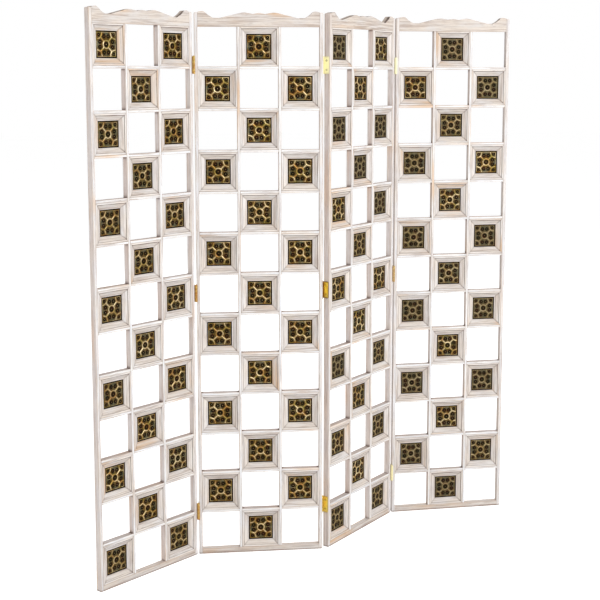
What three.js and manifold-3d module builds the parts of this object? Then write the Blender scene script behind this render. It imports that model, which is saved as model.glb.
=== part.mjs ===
// Folding screen of four lattice panels in limewashed wood, with brass-faced tiles set in every other cell.
// Millimetres, +Z up, +X along the second panel, and the front of the screen looks along -Y.
// The origin is on the floor, in the middle of the standing screen's footprint.
import * as THREE from 'three';
import { mergeVertices } from 'three/addons/utils/BufferGeometryUtils.js';
import Module from 'manifold-3d';

const wasm = await Module();
wasm.setup();

// ---- driving dimensions ----

// Lattice
const rows = 13;
const columns = 3;
const cellSize = 125.5;
const barWidth = 8.5;
const panelDepth = 21;

// Frame of a panel
const panelCount = 4;
const stileWidth = 11;
const bottomRailHeight = 18;
const stileTopDrop = 3.5;
const stileTopEasing = 2.5;

// Crest board: heights above its underside, and places along it
const earHeight = 48.5;
const earEndHeight = 46.5;
const earShoulderHeight = 38;
const scoopHeight = 25.5;
const swellHeight = 44.5;
const nickHeight = 40.5;
const bumpHeight = 43.5;
const earFromEnd = 10;
const shoulderFromEnd = 32;
const scoopFromEnd = 60;
const swellFromMiddle = 54;
const nickFromMiddle = 20;
const crestCurveSteps = 4;

// Joinery
const jointGap = 0.3;
const lapGap = 0.15;
const tenonThickness = 8;
const tenonLength = 6;
const crestTenonHeight = 24;
const crestTenonRise = 4;
const cutOverrun = 1;

// Tile inset: a mitred moulding round a recessed square tile on its backing
const tileSize = 80.5;
const insetDepth = 17;
const tileRecess = 12;
const lipWidth = 6;
const quirkWidth = 1.5;
const quirkDepth = 3.5;
const coveEndDepth = 9.5;
const sightWidth = 2.5;
const insetBite = 1;

// Hinges
const hingeGap = 4;
const hingeLength = 56;
const hingeInset = 150;
const hingeTopInset = 170;
const axisStandOff = 5;
const leafThickness = 1.3;
const leafReach = 19.5;
const barrelRadius = 4.3;
const pinRadius = 1.9;
const pinClearance = 0.05;
const knuckleGap = 0.3;
const knuckleClearance = 0.4;
const plateOverlap = 1;
const pinHeadRadius = 3.5;
const pinHeadHeight = 1.5;
const roundSides = 8;

// Folds of the standing screen, in degrees from flat
const foldOneTwo = 41.9;
const foldTwoThree = 48.8;
const foldThreeFour = 45;

// ---- sizes that follow ----

const pitch = cellSize + barWidth;
const openWidth = columns * cellSize + (columns - 1) * barWidth;
const panelWidth = openWidth + 2 * stileWidth;
const latticeBottom = bottomRailHeight;
const latticeTop = latticeBottom + rows * cellSize + (rows - 1) * barWidth;
const panelHeight = latticeTop + earHeight;
const stileHeight = panelHeight - stileTopDrop;
const front = -panelDepth / 2;
const back = panelDepth / 2;

const columnCentre = (column) => (column - (columns - 1) / 2) * pitch;
const rowCentre = (row) => latticeTop - cellSize / 2 - row * pitch;
const mullionCentre = (index) => columnCentre(index) + pitch / 2;
const railCentre = (index) => rowCentre(index) - pitch / 2;

// ---- materials ----

const limewash = { color: 0xdcd3cb, roughness: 0.8, metalness: 0 };
const brass = { color: 0xd2a437, roughness: 0.35, metalness: 1 };

// ---- solids ----

function toSolid(geometry) {
  const bare = geometry.clone();
  bare.deleteAttribute('normal');
  bare.deleteAttribute('uv');
  const merged = mergeVertices(bare, 1e-4);
  return new wasm.Manifold(new wasm.Mesh({
    numProp: 3,
    vertProperties: Float32Array.from(merged.attributes.position.array),
    triVerts: Uint32Array.from(merged.index.array),
  }));
}

function toGeometry(solid) {
  const mesh = solid.getMesh();
  const geometry = new THREE.BufferGeometry();
  geometry.setAttribute('position', new THREE.BufferAttribute(mesh.vertProperties, 3));
  geometry.setIndex(new THREE.BufferAttribute(mesh.triVerts, 1));
  geometry.computeVertexNormals();
  return geometry;
}

const join = (geometries) => geometries.map(toSolid).reduce((sum, solid) => sum.add(solid));
const cut = (solid, geometries) => geometries.map(toSolid).reduce((rest, tool) => rest.subtract(tool), solid);

function block([x0, x1], [y0, y1], [z0, z1]) {
  const geometry = new THREE.BoxGeometry(x1 - x0, y1 - y0, z1 - z0);
  return geometry.translate((x0 + x1) / 2, (y0 + y1) / 2, (z0 + z1) / 2);
}

const outline = (points) => new THREE.Shape(points.map(([a, b]) => new THREE.Vector2(a, b)));

function extrude(shape, depth, curveSegments = 1) {
  return new THREE.ExtrudeGeometry(shape, { depth, curveSegments, bevelEnabled: false });
}

// A plan in X and Y, raised along Z
const raise = (shape, z0, z1) => extrude(shape, z1 - z0).translate(0, 0, z0);

// A front view in X and Z, given its thickness from y0 to y1
function thicken(shape, y0, y1, curveSegments) {
  return extrude(shape, y1 - y0, curveSegments).rotateX(Math.PI / 2).translate(0, y1, 0);
}

// A side view in Y and Z, given its width from x0 to x1
function widen(shape, x0, x1) {
  const turn = new THREE.Matrix4().set(0, 0, 1, 0, 1, 0, 0, 0, 0, 1, 0, 0, 0, 0, 0, 1);
  return extrude(shape, x1 - x0).applyMatrix4(turn).translate(x0, 0, 0);
}

// ---- frame pieces, in the panel's own frame: middle of its width and depth, on the floor ----

const tenonHalf = tenonThickness / 2;
const mortiseHalf = tenonHalf + jointGap;
const shoulderHalf = openWidth / 2 - jointGap;
const tenonHalfLength = shoulderHalf + tenonLength;
const railBottom = (index) => railCentre(index) - barWidth / 2;
const railTop = (index) => railCentre(index) + barWidth / 2;
const crestTenon = [latticeTop + crestTenonRise, latticeTop + crestTenonRise + crestTenonHeight];

// An upright, with a blind mortise for the crest board and an open one for the bottom rail
function stile(side) {
  const inner = side * openWidth / 2;
  const outer = side * panelWidth / 2;
  const body = thicken(outline(side < 0 ? [
    [outer, 0],
    [inner, 0],
    [inner, stileHeight],
    [outer + stileTopEasing, stileHeight],
    [outer, stileHeight - stileTopEasing],
  ] : [
    [inner, 0],
    [outer, 0],
    [outer, stileHeight - stileTopEasing],
    [outer - stileTopEasing, stileHeight],
    [inner, stileHeight],
  ]), front, back);
  const reach = [inner - side * jointGap, inner + side * tenonLength].sort((a, b) => a - b);
  const mortise = (z0, z1) => block(reach, [-mortiseHalf, mortiseHalf], [z0 - jointGap, z1 + jointGap]);
  return cut(toSolid(body), [mortise(-cutOverrun, bottomRailHeight), mortise(...crestTenon)]);
}

// The places where the mullions' end tenons enter the crest board and the bottom rail
function mullionMortises(z0, z1) {
  const mortises = [];
  for (let index = 0; index < columns - 1; index += 1) {
    const half = barWidth / 2 + jointGap;
    const x = mullionCentre(index);
    mortises.push(block([x - half, x + half], [-mortiseHalf, mortiseHalf], [z0, z1]));
  }
  return mortises;
}

// Half of the scalloped edge, from the end of the board to the nick beside the middle bump
function scallop(end, side) {
  const points = [
    [end, earEndHeight],
    [end - earFromEnd, earHeight],
    [end - (earFromEnd + shoulderFromEnd) / 2, (earHeight + earEndHeight) / 2],
    [end - shoulderFromEnd, earShoulderHeight],
    [end - (shoulderFromEnd + scoopFromEnd) / 2, (earShoulderHeight + 2 * scoopHeight) / 3],
    [end - scoopFromEnd, scoopHeight],
    [(end - scoopFromEnd + swellFromMiddle) / 2, (scoopHeight + swellHeight) / 2],
    [swellFromMiddle, swellHeight],
    [(swellFromMiddle + nickFromMiddle) / 2, (3 * swellHeight + nickHeight) / 4],
    [nickFromMiddle, nickHeight],
  ];
  return points.map(([x, z]) => new THREE.Vector2(side * x, latticeTop + z));
}

function crestRail() {
  const right = scallop(shoulderHalf, 1);
  const left = scallop(shoulderHalf, -1).reverse();
  const shape = new THREE.Shape();
  shape.moveTo(-shoulderHalf, latticeTop);
  shape.lineTo(shoulderHalf, latticeTop);
  shape.lineTo(right[0].x, right[0].y);
  shape.splineThru(right.slice(1));
  shape.splineThru([new THREE.Vector2(0, latticeTop + bumpHeight), left[0]]);
  shape.splineThru(left.slice(1));
  const board = thicken(shape, front, back, crestCurveSteps);
  const tenon = block([-tenonHalfLength, tenonHalfLength], [-tenonHalf, tenonHalf], crestTenon);
  const mortises = mullionMortises(latticeTop - cutOverrun, latticeTop + tenonLength + jointGap);
  return cut(join([board, tenon]), mortises);
}

// A horizontal bar of the lattice, butted between the stiles and lapped for each mullion
function latticeRail(index) {
  const points = [[-shoulderHalf, front]];
  for (let lap = 0; lap < columns - 1; lap += 1) {
    const half = barWidth / 2 + jointGap;
    const x = mullionCentre(lap);
    points.push([x - half, front], [x - half, lapGap], [x + half, lapGap], [x + half, front]);
  }
  points.push([shoulderHalf, front], [shoulderHalf, back], [-shoulderHalf, back]);
  return raise(outline(points), railBottom(index), railTop(index));
}

function bottomRail() {
  const rail = block([-shoulderHalf, shoulderHalf], [front, back], [0, bottomRailHeight]);
  const tenon = block([-tenonHalfLength, tenonHalfLength], [-tenonHalf, tenonHalf], [0, bottomRailHeight]);
  const mortises = mullionMortises(bottomRailHeight - tenonLength - jointGap, bottomRailHeight + cutOverrun);
  return cut(join([rail, tenon]), mortises);
}

// An upright bar of the lattice, lapped over every rail and tenoned into the crest board and the bottom rail
function mullion(index) {
  const foot = latticeBottom + jointGap;
  const head = latticeTop - jointGap;
  const points = [
    [front, foot],
    [-tenonHalf, foot],
    [-tenonHalf, foot - tenonLength],
    [tenonHalf, foot - tenonLength],
    [tenonHalf, foot],
    [back, foot],
  ];
  for (let rail = rows - 2; rail >= 0; rail -= 1) {
    const low = railBottom(rail) - jointGap;
    const high = railTop(rail) + jointGap;
    points.push([back, low], [-lapGap, low], [-lapGap, high], [back, high]);
  }
  points.push(
    [back, head],
    [tenonHalf, head],
    [tenonHalf, head + tenonLength],
    [-tenonHalf, head + tenonLength],
    [-tenonHalf, head],
    [front, head],
  );
  const x = mullionCentre(index);
  return toSolid(widen(outline(points), x - barWidth / 2, x + barWidth / 2));
}

// A closed skin over rectangles that follow each other, each facing -Y, from the back outwards and inwards again
function loftRectangles(stations) {
  const positions = [];
  const faces = [];
  for (const { x0, x1, z0, z1, y } of stations) {
    positions.push(x0, y, z0, x1, y, z0, x1, y, z1, x0, y, z1);
  }
  for (let station = 0; station < stations.length - 1; station += 1) {
    for (let corner = 0; corner < 4; corner += 1) {
      const a = 4 * station + corner;
      const b = 4 * station + (corner + 1) % 4;
      faces.push(a, b, b + 4, a, b + 4, a + 4);
    }
  }
  const last = 4 * (stations.length - 1);
  faces.push(0, 2, 1, 0, 3, 2, last, last + 1, last + 2, last, last + 2, last + 3);
  const geometry = new THREE.BufferGeometry();
  geometry.setAttribute('position', new THREE.Float32BufferAttribute(positions, 3));
  geometry.setIndex(faces);
  return geometry;
}

// The moulding and the tile's backing in one cell: flat lip, quirk, cove and sight edge, down to the tile
function tileInset(row, column) {
  const x = columnCentre(column);
  const z = rowCentre(row);
  const half = cellSize / 2;
  const bite = (outermost) => (outermost ? -jointGap : insetBite);
  const edge = (y) => ({
    x0: x - half + jointGap,
    x1: x + half - jointGap,
    z0: z - half - bite(row === rows - 1),
    z1: z + half + bite(row === 0),
    y,
  });
  const step = (inset, depth) => ({
    x0: x - half + inset,
    x1: x + half - inset,
    z0: z - half + inset,
    z1: z + half - inset,
    y: front + depth,
  });
  const toTile = (cellSize - tileSize) / 2;
  return loftRectangles([
    edge(front + insetDepth),
    edge(front),
    step(lipWidth, 0),
    step(lipWidth + quirkWidth, quirkDepth),
    step(toTile - sightWidth, coveEndDepth),
    step(toTile, tileRecess),
  ]);
}

// The rails of a lattice with the tile insets glued between them, in a checkerboard
function grille(panel) {
  const parts = [];
  for (let index = 0; index < rows - 1; index += 1) {
    parts.push(latticeRail(index));
  }
  for (let row = 0; row < rows; row += 1) {
    for (let column = 0; column < columns; column += 1) {
      if ((row + column + panel) % 2 === 1) {
        parts.push(tileInset(row, column));
      }
    }
  }
  return join(parts);
}

// ---- hinges, about their own axis, with the wood behind it at +Y and the leaf at -X ----

const knuckleCount = 3;
const knuckleLength = (hingeLength - (knuckleCount - 1) * knuckleGap) / knuckleCount;
const knuckleFoot = (index) => index * (knuckleLength + knuckleGap) - hingeLength / 2;
const polygonReach = 1 / Math.cos(Math.PI / roundSides);
const boreRadius = (pinRadius + pinClearance) * polygonReach;

function rod(radius, z0, z1) {
  const geometry = new THREE.CylinderGeometry(radius, radius, z1 - z0, roundSides);
  return geometry.rotateX(Math.PI / 2).translate(0, 0, (z0 + z1) / 2);
}

// A leaf screwed to the edge of a stile, rolled into its own knuckles
function hingeLeaf(ownKnuckles) {
  const leafFace = jointGap - hingeGap / 2;
  const plateEdge = barrelRadius + knuckleClearance;
  const plateEnd = axisStandOff + leafReach;
  const plate = [leafFace, leafFace + leafThickness];
  const half = hingeLength / 2;
  const parts = [block(plate, [plateEdge, plateEnd], [-half, half])];
  for (const index of ownKnuckles) {
    const span = [knuckleFoot(index), knuckleFoot(index) + knuckleLength];
    parts.push(block(plate, [0, plateEdge + plateOverlap], span), rod(barrelRadius, ...span));
  }
  return cut(join(parts), [rod(boreRadius, -hingeLength, hingeLength)]);
}

// A pin dropped through the knuckles from above, under a low domed head
function hingePin() {
  const foot = -hingeLength / 2;
  const head = hingeLength / 2 + jointGap;
  const profile = [
    [0, foot],
    [pinRadius, foot],
    [pinRadius, head],
    [pinHeadRadius, head],
    [pinHeadRadius / 2, head + pinHeadHeight],
    [0, head + pinHeadHeight],
  ].map(([radius, height]) => new THREE.Vector2(radius, height));
  return toSolid(new THREE.LatheGeometry(profile, roundSides).rotateX(Math.PI / 2));
}

// ---- assembly ----

function addPiece(parent, name, solid, finish) {
  const mesh = new THREE.Mesh(toGeometry(solid), new THREE.MeshStandardMaterial(finish));
  mesh.name = name;
  parent.add(mesh);
  return mesh;
}

function buildPanel(panel) {
  const group = new THREE.Group();
  addPiece(group, `stile_left_${panel}`, stile(-1), limewash);
  addPiece(group, `stile_right_${panel}`, stile(1), limewash);
  addPiece(group, `crest_rail_${panel}`, crestRail(), limewash);
  addPiece(group, `bottom_rail_${panel}`, bottomRail(), limewash);
  for (let index = 0; index < columns - 1; index += 1) {
    addPiece(group, `mullion_${panel}_${index + 1}`, mullion(index), limewash);
  }
  addPiece(group, `grille_${panel}`, grille(panel), limewash);
  return group;
}

const hingeHeights = {
  bottom: hingeInset,
  middle: (hingeInset + panelHeight - hingeTopInset) / 2,
  top: panelHeight - hingeTopInset,
};
const evenKnuckles = [0, 2];
const oddKnuckles = [1];
const axisX = (panelWidth + hingeGap) / 2;
const axisY = panelDepth / 2 + axisStandOff;

// Three hinges between two neighbours; face is -1 where their barrels stand at the front, 1 at the back
function addHinges(left, right, names, face) {
  const ownLeft = face < 0 ? evenKnuckles : oddKnuckles;
  const ownRight = face < 0 ? oddKnuckles : evenKnuckles;
  for (const [place, height] of Object.entries(hingeHeights)) {
    const name = `hinge_${names}_${place}`;
    const leafLeft = addPiece(left, `${name}_left_leaf`, hingeLeaf(ownLeft), brass);
    const leafRight = addPiece(right, `${name}_right_leaf`, hingeLeaf(ownRight), brass);
    leafLeft.position.set(axisX, face * axisY, height);
    leafRight.position.set(-axisX, face * axisY, height);
    // The leaf is drawn for the left neighbour of a front hinge; the other three are half turns or flips of it
    leafLeft.rotation.x = face < 0 ? 0 : Math.PI;
    leafRight.rotation.set(0, face < 0 ? Math.PI : 0, face < 0 ? 0 : Math.PI);
    const pin = addPiece(left, `${name}_pin`, hingePin(), brass);
    pin.position.set(axisX, face * axisY, height);
  }
}

// Hangs a panel's group on its neighbour's, turned about the hinge axis between them
function hang(parent, child, side, face, degrees) {
  const hinge = new THREE.Group();
  hinge.position.set(side * axisX, face * axisY, 0);
  hinge.rotation.z = THREE.MathUtils.degToRad(degrees);
  child.position.set(side * axisX, -face * axisY, 0);
  hinge.add(child);
  parent.add(hinge);
}

const panels = [];
for (let panel = 1; panel <= panelCount; panel += 1) {
  panels.push(buildPanel(panel));
}
const [one, two, three, four] = panels;
addHinges(one, two, '1_2', -1);
addHinges(two, three, '2_3', 1);
addHinges(three, four, '3_4', -1);
hang(two, one, -1, -1, foldOneTwo);
hang(two, three, 1, 1, foldTwoThree);
hang(three, four, 1, -1, -foldThreeFour);

const group = new THREE.Group();
group.add(two);
group.updateMatrixWorld(true);
const footprint = new THREE.Box3().setFromObject(group, true);
two.position.set(-(footprint.min.x + footprint.max.x) / 2, -(footprint.min.y + footprint.max.y) / 2, 0);

export default group;
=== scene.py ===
# The looks of a folding screen: four lattice panels in limewashed wood, with pressed brass tiles and brass
# butt hinges. Metres, +Z up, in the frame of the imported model. Each panel is built on its own axes, with X
# across it and Y to its back.
import math

import bmesh
import bpy
import numpy as np
from mathutils import Matrix, Vector


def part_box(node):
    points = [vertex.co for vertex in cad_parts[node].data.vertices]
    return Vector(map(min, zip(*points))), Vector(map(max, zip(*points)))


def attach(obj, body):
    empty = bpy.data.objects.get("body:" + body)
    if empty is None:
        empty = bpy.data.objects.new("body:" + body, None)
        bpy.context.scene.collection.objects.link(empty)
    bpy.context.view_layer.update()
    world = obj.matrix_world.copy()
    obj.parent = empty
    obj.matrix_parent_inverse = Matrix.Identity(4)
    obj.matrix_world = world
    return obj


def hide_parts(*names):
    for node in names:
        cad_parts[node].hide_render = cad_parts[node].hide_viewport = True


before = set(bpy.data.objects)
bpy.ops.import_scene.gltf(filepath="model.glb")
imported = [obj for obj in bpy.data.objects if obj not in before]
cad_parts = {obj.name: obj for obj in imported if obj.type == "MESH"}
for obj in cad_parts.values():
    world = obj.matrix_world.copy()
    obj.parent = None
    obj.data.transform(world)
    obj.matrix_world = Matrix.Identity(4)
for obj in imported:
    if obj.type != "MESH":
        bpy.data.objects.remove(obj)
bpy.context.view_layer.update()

MM = 0.001
PANELS = (1, 2, 3, 4)
FOLDS = ((1, 2), (2, 3), (3, 4))
HINGE_PLACES = ("bottom", "middle", "top")

# ---- the camera of the photograph: a square picture, looking a little down and to the right ----

PICTURE_SIDE = 600
FOCAL_PIXELS = 1243.1
LEVEL_SHIFT_PIXELS = -60
SENSOR = 36
CAMERA_PLACE = (-0.5305, -4.0712, 1.5945)
CAMERA_YAW = 0.116
CAMERA_PITCH = -0.131

# ---- wood ----

ARRIS = 0.7 * MM
BACKING_ARRIS = 0.4 * MM
BACKING_THICKNESS = 3.6 * MM
JOINT_GAP = 0.3 * MM
CREST_STAIN_RISE = 2 * MM

# How far apart two pieces' patterns lie, from one end of the shades to the other
SHADE_SHIFT = 61.0

# The moulding round a tile, in millimetres: (from the cell's edge, below the front, its share of grime and
# painted shade, the shade lying in the quirk and along the sight edge)
MOULDING_PROFILE = (
    (0.2, 0.5, 0.1),
    (0.6, 0.05, 0.0),
    (4.7, 0.0, 0.0),
    (5.1, 0.2, 0.3),
    (5.5, 1.6, 1.0),
    (6.3, 1.9, 1.0),
    (6.9, 1.0, 0.4),
    (7.4, 1.2, 0.0),
    (9.4, 2.4, 0.0),
    (12.0, 4.6, 0.0),
    (14.6, 6.9, 0.0),
    (16.6, 8.6, 0.05),
    (17.5, 9.2, 0.25),
    (18.1, 9.9, 0.5),
    (18.6, 9.8, 0.25),
    (19.0, 9.1, 0.0),
    (19.9, 8.7, 0.0),
    (20.9, 9.0, 0.0),
    (21.5, 9.9, 0.1),
    (21.7, 11.7, 0.4),
)

# Where its flat lip ends and its slope starts, in millimetres
LIP_END = 4.7
SLOPE_START = 6

# Its rear, in millimetres: how far in it reaches, the depths of its rebate and back, and the gap behind it
REBATE = (20.0, 11.7, 12.5)
BACKING_CLEARANCE = 0.1
REAR_GRIME = 0.3
MITRE_GAP = 0.12 * MM
MITRE_BANDS = (0.0, 1.6, 4.4)
STICK_SHADE_STEP = 0.21

# Grime and painted shade on the foot, left, head and right stick: painted shade in their quirks and along
# their sight edges, heaviest on the head and right stick as if lit from the upper right, a darker film on
# their slopes, and grime in the mitres at their two ends, where it fades towards the tile and is thinner on
# the lip
QUIRK_PAINTED_SHADE = (0.5, 0.45, 1.0, 0.95)
SLOPE_FILM = (0.13, 0.02, 0.1, 0.02)
MITRE_GRIME = ((0.65, 1.0), (0.7, 0.65), (0.85, 0.7), (1.0, 0.85))
MITRE_FADE = 30
LEAST_MITRE_GRIME = 0.45
LIP_MITRE_GRIME = 0.3

# Dust and painted shade on the upper face of a cross rail
RAIL_TOP_DUST_AND_SHADE = 0.4

# ---- pressed tile: places from its middle, and bare numbers in millimetres ----

TILE_DEPTH = 12 * MM
TILE_SIDE = 82 * MM
SHEET_THICKNESS = 0.4 * MM
RING_RADIUS = 11.7
RING_STEPS = 32
SPOKE_START = RING_RADIUS + 1
FORK = 21.2
ARM_END = (16.2, 34.8)
ARM_PULL = (18.0, 25.5)
ARM_STEPS = 5
STEM_START = RING_RADIUS + 3.5
STEM_END = 33.5
BORDER = 35.6

# Petals stand on both sides of each stem and in the corners
LOBE_ASIDE = 7.9
LOBE_OUT = 24.0
LOBE_RADIUS = 8.2
CORNER_LOBE = 28.6
CORNER_LOBE_RADIUS = 6.6
LOBE_STEPS = 12

# The boss in the middle of a petal
BOSS_SHARE = 0.2
BOSS_HEIGHT = 0.85
BOSS_BRIGHTNESS = 0.36
BOSS_STEPS = 8

# How much haze and painted glare lie on the tiles of each panel
TILE_HAZE_AND_GLARE = {1: 0.4, 2: 0.05, 3: 1.0, 4: 0.9}

# Widths, heights and brightness of raised lines
RING_LINE = (4.3, 1.1, 0.66)
SPOKE_LINE = (4.4, 1.2, 1.0)
ARM_LINE = (3.8, 1.1, 0.85)
BORDER_LINE = (1.6, 0.6, 0.45)
STEM_LINE = (1.3, 0.4, 0.35)
# The rim line is a dark band round the tile's edge: painted shadow of the recess it sits in
RIM_SHADOW_LINE = (5.0, 0.1, -0.6)

# Sections of a raised line, as shares of half its width and of its height: a low line has a plain ridge
ROUND_SECTION = ((-1, 0), (-0.62, 0.8), (0, 1), (0.62, 0.8), (1, 0))
RIDGE_SECTION = ((-1, 0), (0, 1), (1, 0))
LEAST_ROUND_HEIGHT = 0.5

# A petal from its middle out: (share of its radius, height, brightness)
PETAL_PROFILE = ((0.25, 0.6, -0.5), (0.6, 0.5, -0.5), (0.85, 0.2, -0.5), (0.94, 0.25, 0.3), (1.0, 0.0, 0.0))

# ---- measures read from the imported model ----


def points_of(node):
    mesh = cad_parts[node].data
    points = np.empty(len(mesh.vertices) * 3, np.float32)
    mesh.vertices.foreach_get("co", points)
    return points.reshape(-1, 3).astype(float)


def middle_of(node):
    low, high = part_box(node)
    return (low + high) / 2


class Panel:
    """One lattice panel: its number, its body and its own axes, read from its two stiles."""

    def __init__(self, number):
        self.number = number
        self.body = f"panel_{number}"
        left = middle_of(f"stile_left_{number}")
        right = middle_of(f"stile_right_{number}")
        along, up = (right - left).normalized(), Vector((0, 0, 1))
        foot = (left + right) / 2
        foot.z = 0
        turn = Matrix((along, up.cross(along), up)).transposed().to_4x4()
        self.axes = Matrix.Translation(foot) @ turn

    def own(self, points):
        inverse = np.array(self.axes.inverted())
        return points @ inverse[:3, :3].T + inverse[:3, 3]

    def box(self, node):
        points = self.own(points_of(node))
        return points.min(0), points.max(0)


panels = {number: Panel(number) for number in PANELS}
measured = panels[2]
stile_box = measured.box("stile_left_2")
mullion_box = measured.box("mullion_2_1")
FRONT, BACK = stile_box[0][1], stile_box[1][1]
BAR = mullion_box[1][0] - mullion_box[0][0]
CELL = mullion_box[0][0] - stile_box[1][0]
PITCH = CELL + BAR
OPEN_HALF = -stile_box[1][0]
LATTICE_BOTTOM = measured.box("bottom_rail_2")[1][2]
LATTICE_TOP = measured.box("crest_rail_2")[0][2]
COLUMNS = round((2 * OPEN_HALF + BAR) / PITCH)
ROWS = round((LATTICE_TOP - LATTICE_BOTTOM + BAR) / PITCH)
TOP_ROW = LATTICE_TOP - CELL / 2


# ---- meshes ----

VECTOR_MARKS = ("grain_at", "grain_half")


class Stock:
    """Points, faces and marks gathered for one mesh. A mark is a value at each point for a material."""

    def __init__(self):
        self.points, self.faces, self.marks = [], [], {}

    def add(self, points, faces, **marks):
        start, count = len(self.points), len(points)
        self.points.extend(tuple(point) for point in points)
        self.faces.extend(tuple(start + corner for corner in face) for face in faces)
        for name, value in marks.items():
            width = 3 if name in VECTOR_MARKS else 1
            filled = np.broadcast_to(np.asarray(value, float).reshape(-1, width), (count, width))
            self.marks.setdefault(name, []).append(filled)
        return self

    def mesh(self, name):
        mesh = bpy.data.meshes.new(name)
        mesh.from_pydata(self.points, [], self.faces)
        for mark, parts in self.marks.items():
            kind, slot = ("FLOAT_VECTOR", "vector") if mark in VECTOR_MARKS else ("FLOAT", "value")
            values = np.concatenate(parts).astype(np.float32)
            mesh.attributes.new(mark, kind, "POINT").data.foreach_set(slot, values.ravel())
        mesh.update()
        return mesh


def softened(bm, width, sharpest=math.radians(35)):
    """Points and faces of a solid whose arrises are taken off, as sanding does."""
    bmesh.ops.remove_doubles(bm, verts=bm.verts, dist=2e-6)
    bmesh.ops.dissolve_limit(bm, angle_limit=math.radians(0.5), verts=bm.verts, edges=bm.edges)
    sharp = [edge for edge in bm.edges if len(edge.link_faces) == 2 and edge.calc_face_angle(0) > sharpest]
    bmesh.ops.bevel(
        bm, geom=sharp, offset=width, offset_type="OFFSET", segments=2, profile=0.5, affect="EDGES",
        clamp_overlap=True
    )
    bm.verts.index_update()
    points = np.array([vertex.co for vertex in bm.verts], float)
    faces = [[vertex.index for vertex in face.verts] for face in bm.faces]
    bm.free()
    return points, faces


def extruded(outline, low, high, axis):
    """A bmesh solid: an outline of (a, b) pairs on the other axes, raised from low to high along an axis."""
    bm = bmesh.new()
    others = [index for index in range(3) if index != axis]
    rings = []
    for level in (low, high):
        ring = []
        for pair in outline:
            place = [0, 0, 0]
            place[others[0]], place[others[1]], place[axis] = *pair, level
            ring.append(bm.verts.new(place))
        rings.append(ring)
    count = len(outline)
    bm.faces.new(rings[0])
    bm.faces.new(rings[1])
    for step in range(count):
        after = (step + 1) % count
        bm.faces.new((rings[0][step], rings[0][after], rings[1][after], rings[1][step]))
    bmesh.ops.recalc_face_normals(bm, faces=bm.faces)
    return bm


def grain_marks(points, along, shade):
    """Marks of a stick whose grain runs along an axis: each point's place from its middle, and half sizes."""
    order = [along, *(axis for axis in (2, 0, 1) if axis != along)]
    low, high = points.min(0), points.max(0)
    return {
        "grain_at": (points - (low + high) / 2)[:, order],
        "grain_half": ((high - low) / 2)[order],
        "shade": shade,
    }


def chance(word):
    """A number from 0 to 1 that is always the same for the same word."""
    return float(np.random.default_rng(list(word.encode())).random())


def constant_mark(mesh, name, value):
    """Gives every point of a mesh the same mark."""
    mark = mesh.attributes.new(name, "FLOAT", "POINT")
    mark.data.foreach_set("value", np.full(len(mesh.vertices), value, np.float32))


def smooth(mesh, angle=math.radians(50)):
    mesh.shade_smooth()
    mesh.set_sharp_from_angle(angle=angle)


def finished(stock, name, angle):
    """The mesh of a stock, with doubled points joined, its faces turned outwards and its rounds smooth."""
    mesh = stock.mesh(name)
    bm = bmesh.new()
    bm.from_mesh(mesh)
    bmesh.ops.remove_doubles(bm, verts=bm.verts, dist=1e-7)
    bmesh.ops.recalc_face_normals(bm, faces=bm.faces)
    bm.to_mesh(mesh)
    bm.free()
    smooth(mesh, math.radians(angle))
    return mesh


def piece(name, mesh, panel, stands_for=(), materials=(), even=True):
    """An object of the screen that rides on its panel. Even weighs its normals by its faces' areas."""
    made = bpy.data.objects.new(name, mesh)
    bpy.context.scene.collection.objects.link(made)
    for finish in materials:
        mesh.materials.append(finish)
    if even:
        weigh = made.modifiers.new("even_normals", "WEIGHTED_NORMAL")
        weigh.keep_sharp = True
    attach(made, panel.body)
    if stands_for:
        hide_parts(*stands_for)
    return made


# ---- node trees ----


class Wiring:
    """A node tree under construction. An input that is another node's output is linked, others are set."""

    def __init__(self, tree):
        self.tree = tree

    def node(self, kind, inputs=None, **settings):
        node = self.tree.nodes.new(kind)
        for name, value in settings.items():
            setattr(node, name, value)
        for key, value in (inputs or {}).items():
            self.feed(node.inputs[key], value)
        return node

    def feed(self, socket, value):
        if isinstance(value, bpy.types.NodeSocket):
            self.tree.links.new(value, socket)
        else:
            socket.default_value = value

    def out(self, kind, output, inputs=None, **settings):
        return self.node(kind, inputs, **settings).outputs[output]

    def math(self, operation, *values):
        return self.out("ShaderNodeMath", 0, dict(enumerate(values)), operation=operation)

    def times(self, first, second):
        return self.math("MULTIPLY", first, second)

    def plus(self, first, second):
        return self.math("ADD", first, second)

    def minus(self, first, second):
        return self.math("SUBTRACT", first, second)

    def vector(self, operation, *values):
        return self.out("ShaderNodeVectorMath", 0, dict(enumerate(values)), operation=operation)

    def axes(self, vector):
        """The three parts of a vector."""
        return self.node("ShaderNodeSeparateXYZ", {"Vector": vector}).outputs

    def mark(self, name, output="Fac"):
        return self.out("ShaderNodeAttribute", output, attribute_name=name)

    def between(self, value, low, high, to_low=0.0, to_high=1.0):
        inputs = {"Value": value, "From Min": low, "From Max": high, "To Min": to_low, "To Max": to_high}
        return self.out("ShaderNodeMapRange", "Result", inputs, interpolation_type="SMOOTHSTEP")

    def blend(self, share, first, second, mode="MIX"):
        """Mixes two colours."""
        node = self.node("ShaderNodeMix", data_type="RGBA", blend_type=mode)
        for name, value in (("Factor_Float", share), ("A_Color", first), ("B_Color", second)):
            self.feed(next(socket for socket in node.inputs if socket.identifier == name), value)
        return next(socket for socket in node.outputs if socket.identifier == "Result_Color")

    def noise(self, place, scales, shift, detail=2.0, roughness=0.5):
        """Noise in four dimensions, stretched by its scales, so that each stick has its own."""
        stretched = self.vector("MULTIPLY", place, scales)
        inputs = {"Vector": stretched, "W": shift, "Scale": 1.0, "Detail": detail, "Roughness": roughness}
        return self.out("ShaderNodeTexNoise", "Fac", inputs, noise_dimensions="4D")


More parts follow.
